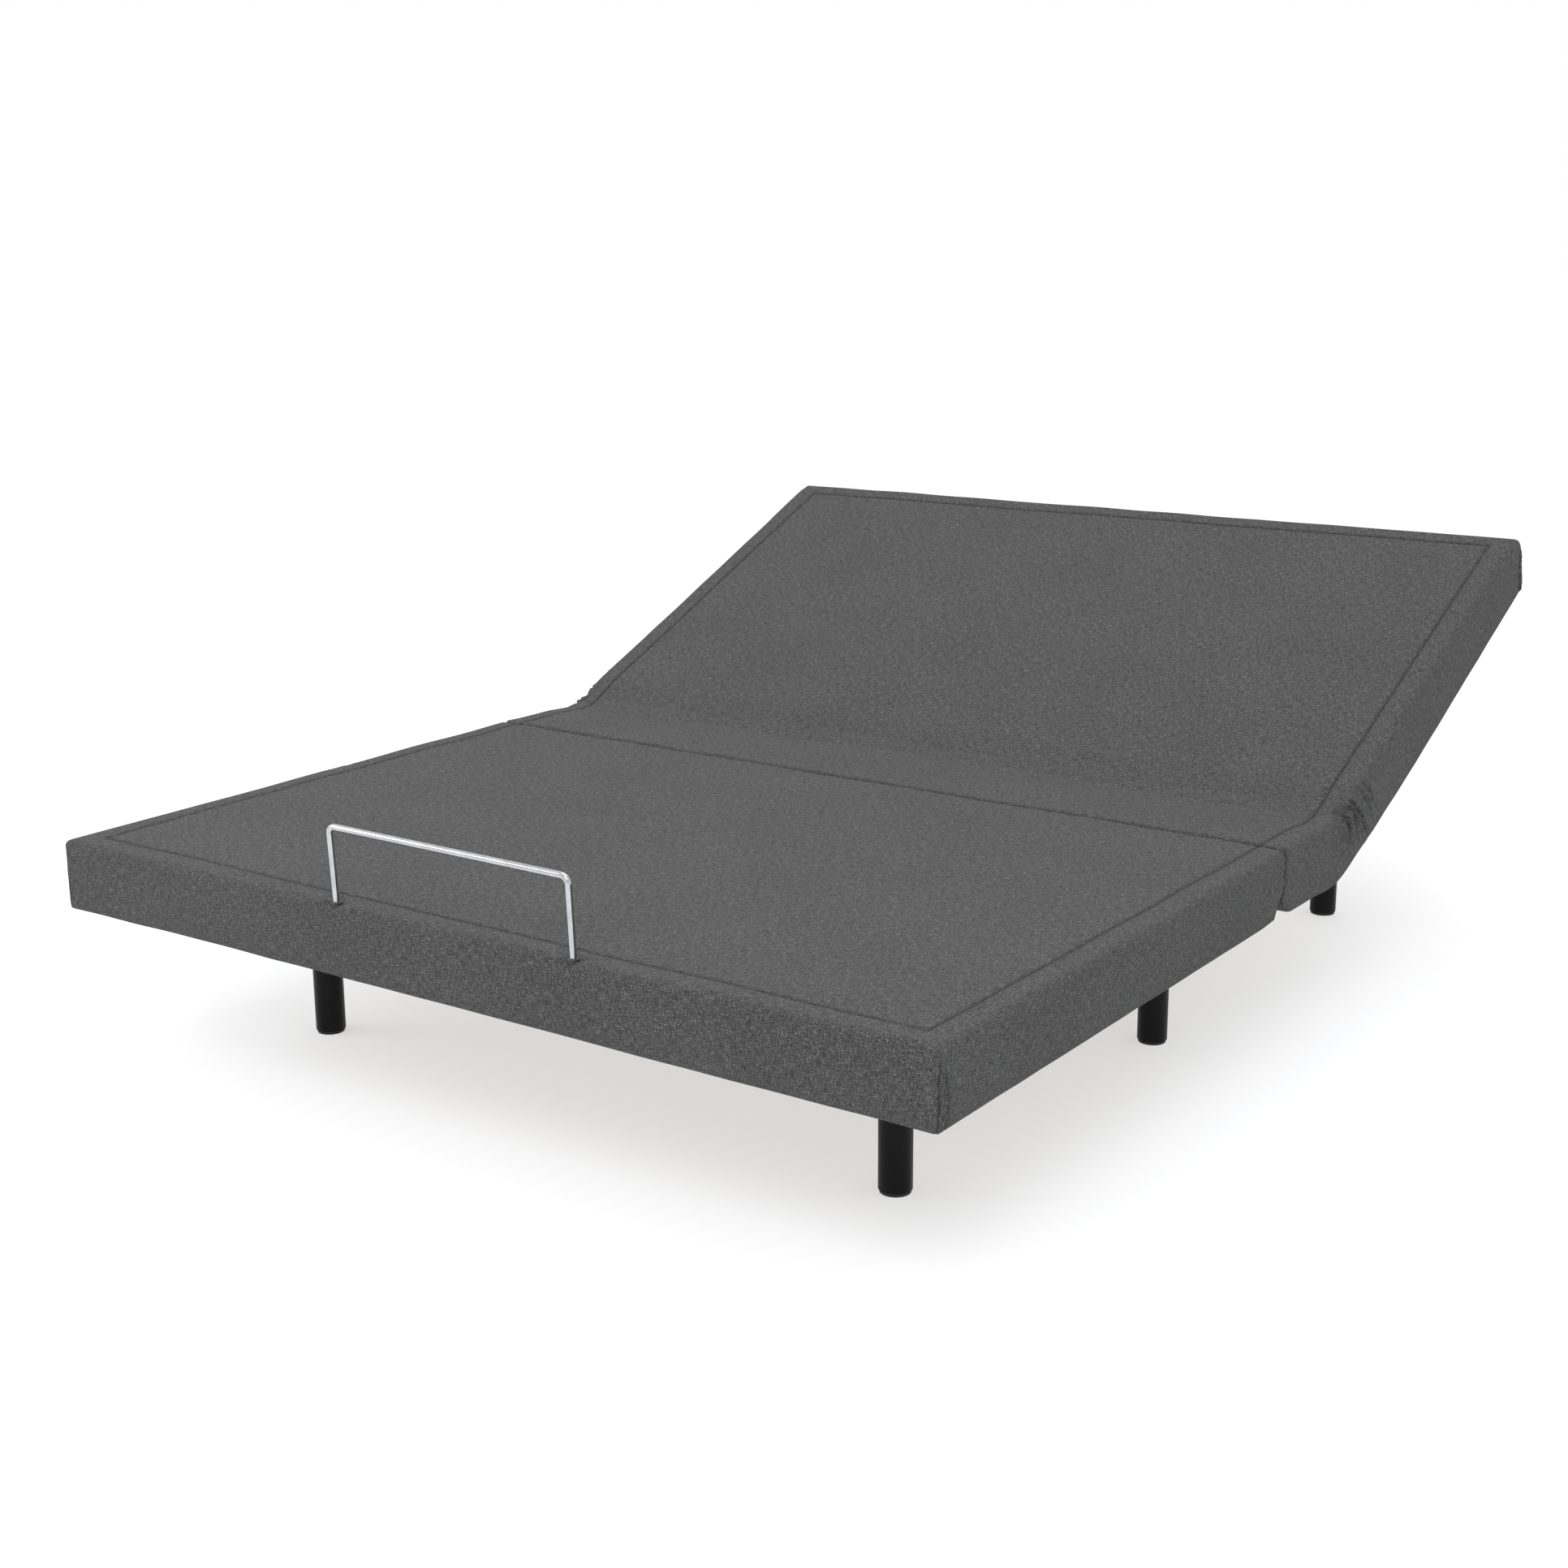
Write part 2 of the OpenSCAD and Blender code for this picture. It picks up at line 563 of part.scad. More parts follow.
module drive_leads() color(black) in_bed() {
    motor_tip = actuator_x + box_half + 108;
    motor_y = head_actuator_y + (box_y[0] + box_y[1]) / 2;
    lead_y = supply_y - 6;
    lead([[-motor_tip, motor_y, rod_z], [-motor_tip - 20, motor_y, rod_z + 2],
        [-motor_tip - 32, motor_y - 16, rod_z + 8], [-motor_tip - 28, lead_y + 8, lead_z - 4],
        [-motor_tip - 10, lead_y, lead_z], [150, lead_y, lead_z],
        [162, lead_y - 6, lead_z], [166, lead_y - 24, lead_z]], lead_r);
    far_y = thigh_actuator_y - (box_y[0] + box_y[1]) / 2;
    lead([[motor_tip, far_y, rod_z], [motor_tip + 20, far_y, rod_z + 2],
        [motor_tip + 34, far_y + 16, rod_z + 8], [motor_tip + 38, thigh_actuator_y - 8, lead_z - 4],
        [motor_tip + 54, thigh_actuator_y, lead_z], [rail_out - 10, thigh_actuator_y, lead_z]], lead_r);
}

/* bolts */
module hex_bolt(d) {
    cylinder(d = 1.7 * d, h = 0.6 * d, $fn = 6);
    cylinder(d = 2 * d, h = 1.5);
}
module frame_bolts() color(zinc) in_bed() left_right() {
    // through the side rails into the end cross tubes
    for (y = [rail_start + rail_w / 2, rail_end - rail_w / 2], z = [rail_bottom + 14, rail_top - 14])
        translate([rail_out, y, z]) rotate([0, 90, 0]) hex_bolt(8);
    // into the bearing blocks
    for (y = [head_tube_y, thigh_tube_y], s = [-1, 1])
        translate([rail_out, y + s * 18, torque_z]) rotate([0, 90, 0]) hex_bolt(8);
    // link pivots, from the rail to the link
    translate([0, link_root[0], link_root[1]]) {
        x_cylinder(axle_r, link_x - link_t / 2 - 1, rail_in);
        x_cylinder(axle_r + 5, link_x + link_t / 2 + 1, rail_in);
        x_cylinder(axle_r + 4, link_x - link_t / 2 - 4, link_x - link_t / 2 - 1);
    }
}

foot_board();
foot_foam();
foot_side_pads();
foot_end_pad();
foot_hinge_leaves();
foot_link_brackets();
retainer_bar();
retainer_sockets();
thigh_board();
thigh_foam();
thigh_side_pads();
thigh_hinge_leaves();
thigh_tracks();
seat_board();
seat_foam();
seat_side_pads();
seat_hinge_leaves();
seat_spacers();
hinge_pins();
head_board();
head_foam();
head_side_pads();
head_end_pad();
head_hinge_leaves();
head_tracks();
side_rail_left();
side_rail_right();
end_cross_tubes();
drop_cross_tubes();
deck_bumpers();
headboard_plates();
leg_plates();
leg_studs();
leg_glides();
leg_foot_left();
leg_foot_right();
leg_middle_left();
leg_middle_right();
leg_head_left();
leg_head_right();
tube_bearings();
frame_bolts();
head_torque_tube();
head_lift_arms();
head_roller_left();
head_roller_right();
thigh_torque_tube();
thigh_lift_arms();
thigh_roller_left();
thigh_roller_right();
actuator_tubes();
actuator_gearboxes();
actuator_motors();
actuator_brackets();
head_actuator_rod();
thigh_actuator_rod();
foot_links();
control_box();
power_supply();
drive_leads();
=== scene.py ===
"""An adjustable bed base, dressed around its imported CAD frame. All sizes are in metres."""

import json
import math

import bmesh
import bpy
import numpy as np
from mathutils import Matrix, Vector


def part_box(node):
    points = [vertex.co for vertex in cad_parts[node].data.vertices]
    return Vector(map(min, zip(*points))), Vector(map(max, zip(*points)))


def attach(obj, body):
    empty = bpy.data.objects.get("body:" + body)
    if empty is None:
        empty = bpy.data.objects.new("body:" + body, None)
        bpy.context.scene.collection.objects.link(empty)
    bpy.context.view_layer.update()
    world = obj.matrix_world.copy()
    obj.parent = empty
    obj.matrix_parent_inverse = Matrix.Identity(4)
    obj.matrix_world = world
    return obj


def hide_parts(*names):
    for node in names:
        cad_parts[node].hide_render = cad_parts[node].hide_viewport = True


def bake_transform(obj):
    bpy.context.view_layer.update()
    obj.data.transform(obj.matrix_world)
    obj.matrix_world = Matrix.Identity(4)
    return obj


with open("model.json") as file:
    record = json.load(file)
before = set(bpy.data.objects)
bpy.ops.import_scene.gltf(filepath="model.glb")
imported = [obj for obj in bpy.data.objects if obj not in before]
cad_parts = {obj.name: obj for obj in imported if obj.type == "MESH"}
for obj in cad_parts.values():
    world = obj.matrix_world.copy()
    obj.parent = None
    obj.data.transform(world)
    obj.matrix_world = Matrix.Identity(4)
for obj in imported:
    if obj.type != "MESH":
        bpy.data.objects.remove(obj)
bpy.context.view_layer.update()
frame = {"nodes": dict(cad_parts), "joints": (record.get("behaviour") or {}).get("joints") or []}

# ---------------------------------------------------------------- measures taken from the CAD frame
JOINTS = {j["name"]: j for j in frame["joints"]}
HALF_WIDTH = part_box("foot_side_pads")[1].x
FOOT_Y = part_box("foot_end_pad")[0].y
THIGH_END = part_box("thigh_side_pads")[1].y
SEAT_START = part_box("seat_side_pads")[0].y
PAD_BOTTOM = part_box("foot_side_pads")[0].z
SIDE_BOTTOM = PAD_BOTTOM - 0.0075  # the cloth hangs a little below the pads
DECK_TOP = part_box("foot_foam")[1].z
BOARD_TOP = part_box("foot_board")[1].z
PAD = HALF_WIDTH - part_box("foot_board")[1].x
KNEE = Vector(JOINTS["knee_fold"]["pos_m"])
HEAD_FOLD = Vector(JOINTS["head_fold"]["pos_m"])
TILT = math.radians(-JOINTS["head_fold"]["range_deg"][0])
# the head section's length when flat, read back from the tilted end pad's lower corner
HEAD_LENGTH = (
    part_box("head_end_pad")[1].y - HEAD_FOLD.y - (HEAD_FOLD.z - PAD_BOTTOM) * math.sin(TILT)
) / math.cos(TILT)
HEAD_END = HEAD_FOLD.y + HEAD_LENGTH
FOLD_ZONE = 0.085  # half the length over which a cover bends at a fold
BORDER = PAD + 0.004  # where the border band of the deck meets its middle panel
BAR_RADIUS = 0.0045  # half the thickness of the mattress retainer bar
LAP = 0.0160  # width of the turned cloth beside a corner seam, at its lower end
HINGE_REACH = 0.064  # how far the notches over the top hinges reach in from a cover's open end
HINGE_HALF = 0.053  # half the width of such a notch
NOTCH_TOP = BOARD_TOP + 0.0095  # top of the room left for hinges and the next board
LINING = BOARD_TOP + 0.0003  # the underside of the deck's foam, just clear of the board
EDGE_ROUND = 0.012  # radius of the deck's upper edges
DECK_SHIFT = 0.37  # moves the deck's cloth along its roll, so that it differs from the sides'
TOP_HINGES = (-0.6, -0.36, 0.0, 0.36, 0.6)  # across the bed
STITCH_PITCH, STITCH_HALF = 0.0065, 0.0023
THREAD_WIDE, THREAD_HIGH = 0.00055, 0.00045  # half the width and height of a stitch


# ---------------------------------------------------------------- materials
class Paint:
    """A Principled material and short ways to add nodes to it."""

    def __init__(self, name, **inputs):
        self.material = bpy.data.materials.new(name)
        self.material.use_nodes = True
        self.tree = self.material.node_tree
        self.shader = self.tree.nodes["Principled BSDF"]
        for key, value in inputs.items():
            socket = key.replace("_", " ").title().replace("Ior", "IOR")
            self.shader.inputs[socket].default_value = value

    def node(self, kind, settings=(), **links):
        made = self.tree.nodes.new("ShaderNode" + kind)
        for key, value in dict(settings).items():
            setattr(made, key, value)
        for key, value in links.items():
            numbered = key[0] == "i" and key[1:].isdigit()
            socket = made.inputs[int(key[1:]) if numbered else key.replace("_", " ")]
            if hasattr(value, "links"):
                self.tree.links.new(value, socket)
            else:
                socket.default_value = value
        return made

    def link(self, output, name):
        self.tree.links.new(output, self.shader.inputs[name])

    def place(self, kind="Object"):
        return self.node("TexCoord").outputs[kind]

    def scaled(self, vector, scale):
        return self.node("Mapping", Vector=vector, Scale=scale).outputs[0]

    def noise(self, vector, scale, detail=2.0, rough=0.5, distortion=0.0):
        made = self.node("TexNoise", Vector=vector, Scale=scale, Detail=detail, Roughness=rough,
                         Distortion=distortion)
        return made.outputs["Fac"]

    def ramp(self, value, stops):
        made = self.node("ValToRGB", Fac=value)
        ramp = made.color_ramp
        while len(ramp.elements) < len(stops):
            ramp.elements.new(0.5)
        for element, (at, colour) in zip(ramp.elements, stops):
            element.position = at
            element.color = (*colour, 1) if len(colour) == 3 else colour
        return made.outputs["Color"]

    def grey(self, value, stops):
        return self.ramp(value, [(at, (v, v, v)) for at, v in stops])

    def math(self, operation, a, b=0.0):
        return self.node("Math", {"operation": operation}, i0=a, i1=b).outputs[0]

    def mix(self, factor, a, b, blend="MIX"):
        made = self.node("MixRGB", {"blend_type": blend}, Fac=factor)
        for socket, value in ((made.inputs[1], a), (made.inputs[2], b)):
            if hasattr(value, "links"):
                self.tree.links.new(value, socket)
            else:
                socket.default_value = (*value, 1)
        return made.outputs[0]

    def bump(self, height, strength, distance):
        made = self.node("Bump", Height=height, Strength=strength, Distance=distance)
        self.link(made.outputs[0], "Normal")


def cloth_paint():
    """Heathered grey upholstery: slubby yarns, a fine plain weave, darker sewn seams, and painted shade in
    its creases, beside the lapped corner ridges and around the retainer bar's feet.
    """
    p = Paint("upholstery_cloth", roughness=0.95, sheen_weight=0.10, sheen_roughness=0.5,
              specular_ior_level=0.10)
    p.shader.inputs["Sheen Tint"].default_value = (0.75, 0.75, 0.76, 1)
    lay = p.node("UVMap", {"uv_map": "cloth"}).outputs[0]
    weft = p.noise(p.scaled(lay, (85, 760, 1)), 1.0, 2.0, 0.55, 0.2)
    warp = p.noise(p.scaled(lay, (760, 85, 1)), 1.0, 2.0, 0.55, 0.2)
    specks = p.noise(p.scaled(lay, (450, 480, 1)), 1.0, 3.0, 0.65)
    yarn = p.mix(0.45, p.mix(0.5, weft, warp), specks)
    tone = p.grey(yarn, [(0.36, 0.009), (0.46, 0.040), (0.53, 0.079), (0.64, 0.224)])
    cloud = p.grey(p.noise(lay, 5.5, 3.0, 0.6), [(0.3, 0.93), (0.7, 1.05)])
    # this attribute holds the sewn lines' darkness plus painted shade in creases, beside lapped ridges and
    # around the bar's feet; it darkens the cloth towards black
    seam_and_shade = p.node("Attribute", {"attribute_name": "seam_and_shade"}).outputs["Fac"]
    cloth = p.mix(1.0, tone, cloud, "MULTIPLY")
    p.link(p.mix(p.math("MULTIPLY", seam_and_shade, 0.85), cloth, (0.008, 0.008, 0.008)), "Base Color")
    pick = p.scaled(lay, (760, 760, 1))
    weave = p.node("TexWave", {"wave_type": "BANDS", "bands_direction": "X"}, Vector=pick, Scale=0.5,
                   Distortion=0.6).outputs["Fac"]
    cross = p.node("TexWave", {"wave_type": "BANDS", "bands_direction": "Y"}, Vector=pick, Scale=0.5,
                   Distortion=0.6).outputs["Fac"]
    relief = p.math("ADD", p.math("MULTIPLY", weave, cross), p.math("MULTIPLY", yarn, 2.2))
    p.bump(relief, 0.7, 0.0006)
    return p.material


def thread_paint():
    p = Paint("seam_thread", roughness=0.6)
    twist = p.noise(p.place(), 900.0, 2.0)
    p.link(p.ramp(twist, [(0.3, (0.02, 0.02, 0.022)), (0.7, (0.055, 0.056, 0.06))]), "Base Color")
    return p.material


def plywood_paint():
    """Birch plywood: long grain on the faces and thin plies where the edges show."""
    p = Paint("plywood", roughness=0.62, specular_ior_level=0.35)
    place = p.place()
    grain = p.noise(p.scaled(place, (46, 1.8, 46)), 1.0, 5.0, 0.60, 0.35)
    pores = p.noise(p.scaled(place, (420, 12, 420)), 1.0, 2.0)
    face = p.ramp(grain, [(0.28, (0.46, 0.33, 0.20)), (0.5, (0.62, 0.48, 0.32)),
                          (0.75, (0.73, 0.60, 0.43))])
    plies = p.node("TexWave", {"wave_type": "BANDS", "bands_direction": "Z"}, Vector=place, Scale=95.0,
                   Distortion=0.5).outputs["Fac"]
    edge = p.ramp(plies, [(0.35, (0.30, 0.18, 0.09)), (0.6, (0.66, 0.48, 0.29))])
    normal = p.node("SeparateXYZ", Vector=p.place("Normal")).outputs[2]
    flat = p.math("GREATER_THAN", p.math("ABSOLUTE", normal), 0.6)
    p.link(p.mix(flat, edge, p.mix(0.3, face, pores, "MULTIPLY")), "Base Color")
    p.bump(p.math("ADD", grain, pores), 0.25, 0.0004)
    return p.material


def coated_paint(name, colour, rough, relief, metallic=0.0, speckle=900.0, wear=0.12, shine=0.5):
    """Powder coat or moulded plastic: a fine orange peel, a little dust and rubbed patches."""
    p = Paint(name, metallic=metallic, specular_ior_level=shine)
    place = p.place()
    peel = p.noise(place, speckle, 2.0, 0.5)
    patches = p.noise(place, 14.0, 4.0, 0.6)
    bright = tuple(min(1.0, c * (1 + wear * 4) + wear * 0.02) for c in colour)
    p.link(p.mix(p.grey(patches, [(0.45, 0.0), (0.75, 1.0)]), colour, bright), "Base Color")
    p.link(p.grey(patches, [(0.3, rough - 0.07), (0.7, rough + 0.08)]), "Roughness")
    p.bump(peel, relief, 0.0003)
    return p.material


def zinc_paint():
    """Bright zinc plate: faint spangle and drawing lines."""
    p = Paint("zinc_plate", metallic=1.0)
    place = p.place()
    spangle = p.node("TexVoronoi", Vector=place, Scale=90.0).outputs["Distance"]
    lines = p.noise(p.scaled(place, (20, 900, 900)), 1.0, 2.0)
    p.link(p.ramp(spangle, [(0.0, (0.50, 0.51, 0.52)), (0.8, (0.66, 0.67, 0.69))]), "Base Color")
    p.link(p.grey(lines, [(0.3, 0.26), (0.7, 0.42)]), "Roughness")
    p.bump(lines, 0.15, 0.0002)
    return p.material


def chrome_paint():
    """Bright chrome with a few hairlines and finger marks."""
    p = Paint("chrome", metallic=1.0)
    place = p.place()
    marks = p.noise(place, 55.0, 5.0, 0.65)
    p.link(p.ramp(marks, [(0.4, (0.47, 0.475, 0.485)), (0.6, (0.55, 0.555, 0.565))]), "Base Color")
    p.link(p.grey(marks, [(0.4, 0.08), (0.65, 0.14)]), "Roughness")
    p.bump(p.noise(p.scaled(place, (300, 300, 300)), 1.0), 0.03, 0.0001)
    return p.material


CLOTH = cloth_paint()
THREAD = thread_paint()
PLY = plywood_paint()
STEEL = coated_paint("powder_steel", (0.020, 0.020, 0.022), 0.46, 0.22)
LEG_BLACK = coated_paint("leg_lacquer", (0.0032, 0.0032, 0.0034), 0.34, 0.10, wear=0.05, shine=0.13)
PLASTIC = coated_paint("moulded_plastic", (0.018, 0.018, 0.019), 0.52, 0.42, speckle=1500.0)
RUBBER = coated_paint("rubber", (0.012, 0.012, 0.012), 0.78, 0.25, wear=0.2)
NYLON = coated_paint("nylon", (0.62, 0.61, 0.57), 0.44, 0.15, wear=0.0)
CABLE = coated_paint("cable_jacket", (0.014, 0.014, 0.015), 0.5, 0.12)
ALLOY = coated_paint("cast_alloy", (0.42, 0.43, 0.44), 0.40, 0.35, metallic=1.0, wear=0.05)
ZINC = zinc_paint()
CHROME = chrome_paint()


# ---------------------------------------------------------------- helpers for meshes
def new_object(name, mesh, material):
    made = bpy.data.objects.new(name, mesh)
    bpy.context.scene.collection.objects.link(made)
    mesh.materials.append(material)
    return made


def smooth(mesh, angle=35.0):
    mesh.shade_smooth()
    mesh.set_sharp_from_angle(angle=math.radians(angle))


def finished(name, shape, material, body, angle=35.0):
    """A bmesh becomes a smooth-shaded piece that rides on a body."""
    mesh = bpy.data.meshes.new(name)
    bmesh.ops.recalc_face_normals(shape, faces=shape.faces)
    shape.to_mesh(mesh)
    shape.free()
    smooth(mesh, angle)
    made = new_object(name, mesh, material)
    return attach(made, body)


# ---------------------------------------------------------------- upholstery covers
def graded(stops, fine, coarse, close=(0.0, 0.0), growth=0.22):
    """Grid lines through the stops, close together near each stop and further apart between them.
    The spacing stays under 2 mm between the two ends of close."""
    lines = [stops[0]]
    for low, high in zip(stops[:-1], stops[1:]):
        if high - low < 1e-6:
            continue
        steps, at = [], 0.0
        span = high - low
        while at < span:
            widest = min(coarse, 0.0018) if close[0] < low + at < close[1] else coarse
            width = min(widest, fine + growth * min(at, max(span - at, 0.0)))
            steps.append(width)
            at += width
        scale = span / sum(steps)
        lines += [low + scale * total for total in np.cumsum(steps)]
        lines[-1] = high
    return np.array(lines)


def waves(a, b, seed, count, short, long):
    """Gentle seeded waves over two coordinates, between -1 and 1 or so."""
    draw = np.random.default_rng(seed)
    total = np.zeros_like(a)
    for _ in range(count):
        angle = draw.uniform(0, math.tau)
        pitch = math.exp(draw.uniform(math.log(short), math.log(long)))
        total += np.sin(math.tau * (a * math.cos(angle) + b * math.sin(angle)) / pitch
                        + draw.uniform(0, math.tau))
    return total / math.sqrt(count)


def bell(distance, width):
    """1 at distance 0, fading to 0 over about twice the width."""
    return np.exp(-((distance / width) ** 2))


def height_share(z):
    """Height on a side or end face: 0 at its lower edge and 1 at the deck."""
    return (z - SIDE_BOTTOM) / (DECK_TOP - SIDE_BOTTOM)


def middle_share(z):
    """1 at half height, falling to 0 at both edges of a side or end face."""
    height = np.clip(height_share(z), 0, 1)
    return 4 * height * (1 - height)


def seam_wander(x, z):
    """How far a corner seam strays from the corner."""
    return 0.0011 * np.sin(z * 118 + 2 * x) + 0.0005 * np.sin(z * 290)


def step(value, low, high):
    """0 below low and 1 above high, smooth between."""
    t = np.clip((value - low) / (high - low), 0, 1)
    return t * t * (3 - 2 * t)


def rounded(a, b, radius):
    """Depth inside two faces that meet in a rounded edge, from the depth inside each."""
    corner = radius - np.hypot(radius - a, radius - b)
    return np.where((a < radius) & (b < radius), corner, np.minimum(a, b))


def crease(y, z, top, bottom, bow, width, depth):
    """A fold in the cloth along a bowed line in the side face: how far the cloth sinks there, and how
    far it swells on both sides."""
    run = np.array(bottom) - np.array(top)
    length = np.hypot(*run)
    along = ((y - top[0]) * run[0] + (z - top[1]) * run[1]) / length**2
    across = ((z - top[1]) * run[0] - (y - top[0]) * run[1]) / length
    held = np.clip(along, 0, 1)
    across = across - bow * 4 * held * (1 - held) - 0.0009 * np.sin(9 * held + 900 * width)
    fade = step(along, -0.12, 0.22) * (1 - step(along, 0.65, 1.25))
    fade = fade * (0.85 + 0.15 * np.sin(13 * held + 400 * width))
    spread = width * (1 + 0.6 * held)
    swell = 0.75 * (bell(across - 1.8 * spread, spread) + bell(across + 1.8 * spread, spread))
    sink = bell(across, spread * 0.7)
    return depth * fade * sink, depth * fade * swell


class Cover:
    """One upholstered cover, modelled flat: a deck panel and three padded sides, open where it faces
    the next cover. Its points follow a rounded, slightly rumpled shape that inside() describes.

    fold says where the cover bends, "at" and "angle"; the two bodies that meet there, which are not used;
    the depth of the "furrow" across the deck; and where its creases lie, "from" and "to" past the fold.
    gap shapes the open end: "lean" moves its lower part inwards, fading out between "from" and "to"
    above the pads' lower edge; "lift" raises its underside; two radii round its lower and upper edge;
    and the "rebate" under its lip leaves room for the next board."""

    REACH = 0.040  # every rounding and lean is smaller than this
    FAR = 1.6  # rays end this far out, as a share of the way from the core to the flat point

    def __init__(self, name, closed, opened, seed, fold, gap, creases=(), hinge_xs=(), bar_feet=()):
        self.name, self.closed, self.open_end = name, closed, opened
        self.low, self.high = min(closed, opened), max(closed, opened)
        self.out = 1 if closed > opened else -1  # towards the closed end
        self.seed, self.fold, self.gap, self.creases = seed, fold, gap, creases
        self.hinge_xs, self.bar_feet = hinge_xs, bar_feet
        # the closed end's upper and lower edges are rounder at the head than at the foot
        self.round_top, self.round_low = (0.020, 0.022) if self.out > 0 else (EDGE_ROUND, 0.004)

    def depth_y(self, y):
        """Depth behind the closed end's face and behind the open end's face."""
        return (self.closed - y) * self.out, (y - self.open_end) * self.out

    def side_bulge(self, sign, y, z):
        """How far a side face stands out from its flat, in metres."""
        middle = middle_share(z)
        # long swells and short ripples
        out = 0.0010 * waves(y, z * 1.4, self.seed + 3 * sign, 7, 0.10, 0.42) * middle
        out += 0.00035 * waves(y * 2.2, z * 0.35, self.seed + 11 + sign, 8, 0.03, 0.09) * middle
        sink, swell = self.wrinkles(sign, y, z)
        out += swell - sink
        lap, beside = self.lap((self.closed - y) * self.out, height_share(z))
        return out + 0.0034 * lap - 0.0022 * beside

    def lap(self, end, height):
        """The turned cloth beside a corner seam: its ridge and the hollow behind it, from 0 to 1."""
        place = LAP * (1 - step(height, 0.35, 0.95)) + 0.0007 * np.sin(height * 12)
        held = step(height, 0.0, 0.10) * (1 - step(height, 0.60, 0.85))
        return bell(end - place, 0.0022) * held, bell(end - place - 0.0040, 0.0020) * held

    def wrinkles(self, sign, y, z):
        """How far the creases of a side face sink and swell; the two sides differ a little."""
        shift = 0.0 if sign > 0 else 0.005 * math.sin(self.seed)
        pairs = [crease(y + shift, z, *one) for one in self.creases]
        sink = np.max([pair[0] for pair in pairs], axis=0)
        return sink, sum(pair[1] for pair in pairs)

    def end_bulge(self, x, z):
        """How far the end face stands out from its flat, in metres."""
        middle = middle_share(z)
        out = 0.0011 * waves(x, z * 1.4, self.seed + 21, 7, 0.12, 0.5) * middle
        out += 0.0004 * waves(x * 2.2, z * 0.35, self.seed + 22, 8, 0.03, 0.09) * middle
        # the retainer bar's feet draw the cloth in, with small pleats around them
        for foot in self.bar_feet:
            away = np.hypot(x - foot.x, z - DECK_TOP - 0.004)
            rays = np.cos(9 * np.arctan2(x - foot.x, DECK_TOP + 0.012 - z))
            out -= 0.0040 * bell(away, 0.016) + 0.0009 * rays * bell(away - 0.020, 0.014)
        return out

    def deck_bulge(self, x, y):
        """How far the deck panel rises above its flat, in metres."""
        inset = np.minimum(HALF_WIDTH - np.abs(x), (self.closed - y) * self.out)
        out = 0.0007 * waves(x, y, self.seed + 31, 9, 0.15, 0.7)
        # a slight crown inside the border seam, and the seam itself
        out += 0.0009 * step(inset, BORDER, BORDER + 0.05)
        out -= 0.0021 * bell(inset - BORDER, 0.0030)
        out -= self.fold["furrow"] * self.furrows(x, y)
        for foot in self.bar_feet:
            away = np.hypot(x - foot.x, y - foot.y)
            pleats = 1 + 0.3 * np.cos(7 * np.arctan2(y - foot.y, x - foot.x))
            out -= 0.0060 * bell(away, 0.015) * pleats
        return np.minimum(out, 0.0012)

    def furrows(self, x, y):
        """Three shallow wandering furrows across the deck where it folds."""
        depth = np.zeros_like(x)
        for n, (place, share) in enumerate(((-0.030, 0.45), (0.002, 1.0), (0.034, 0.6))):
            wander = 0.006 * np.sin(x * (5.1 + n) + n) + 0.003 * np.sin(x * 17.3 + 2 * n)
            patchy = 0.7 + 0.3 * np.sin(x * (7.7 + 2 * n) + 4 * n)
            depth += share * patchy * bell(y - self.fold["at"].y - place - wander, 0.0085)
        return depth

    def tuck(self, x, y, z):
        """How far the sides curl under towards their stapled lower edge: less on the head section, and
        hardly at the left side."""
        amount = 0.0072 - 0.0054 * step(y, HEAD_FOLD.y - 0.06, HEAD_FOLD.y + 0.14)
        amount = amount * (1 - 0.9 * step(-x, 0.45, 0.75))
        return amount * np.exp(-np.maximum(z - SIDE_BOTTOM, 0) / 0.022)

    def belly(self, y):
        """How much lower the cloth hangs along the head section, and less at its end."""
        hang = 0.0055 * bell(y - (HEAD_FOLD.y + 0.31), 0.27)
        return hang - 0.0020 * step(y, HEAD_END - 0.25, HEAD_END)

    def inside(self, x, y, z):
        """Depth below the cover's surface: above 0 inside, below 0 outside."""
        bulge = np.where(x > 0, self.side_bulge(1, y, z), self.side_bulge(-1, y, z))
        side = HALF_WIDTH - self.tuck(x, y, z) + bulge - np.abs(x)
        closed, opened = self.depth_y(y)
        # the left side is fuller near the closed end
        side = side + 0.0045 * step(-x, 0.55, 0.72) * bell(closed, 0.20)
        closed = closed - self.tuck(x, y, z) + self.end_bulge(x, z)
        # the open end
        gap = self.gap
        opened = opened - gap["lean"] * (1 - step(z, PAD_BOTTOM + gap["from"], PAD_BOTTOM + gap["to"]))
        opened = opened + 0.0005 * waves(x * 3, z * 3, self.seed + 41, 5, 0.1, 0.4)
        top = DECK_TOP + self.deck_bulge(x, y) - z
        under = z - SIDE_BOTTOM + self.belly(y) + 0.0004 * waves(x, y, self.seed + 51, 6, 0.08, 0.3)
        under = under - gap["lift"] * (1 - step(opened, -0.005, 0.058))
        walls = np.minimum.reduce([
            rounded(side, closed, 0.004), rounded(side, opened, 0.009), rounded(side, under, 0.004),
            rounded(closed, under, self.round_low), rounded(opened, under, gap["round_under"])])
        round_top = EDGE_ROUND + (gap["round_top"] - EDGE_ROUND) * (1 - step(opened, 0.0, 0.04))
        round_top = round_top + (self.round_top - EDGE_ROUND) * (1 - step(closed, 0.0, 0.04))
        depth = rounded(walls, top, round_top)
        # the sewn corner seam at the closed end
        corner = (side - closed) + seam_wander(x, z)
        near = bell(np.minimum(side, closed), 0.010) * (1 - step(z, DECK_TOP - 0.022, DECK_TOP - 0.010))
        return depth - 0.0016 * bell(corner, 0.0016) * near

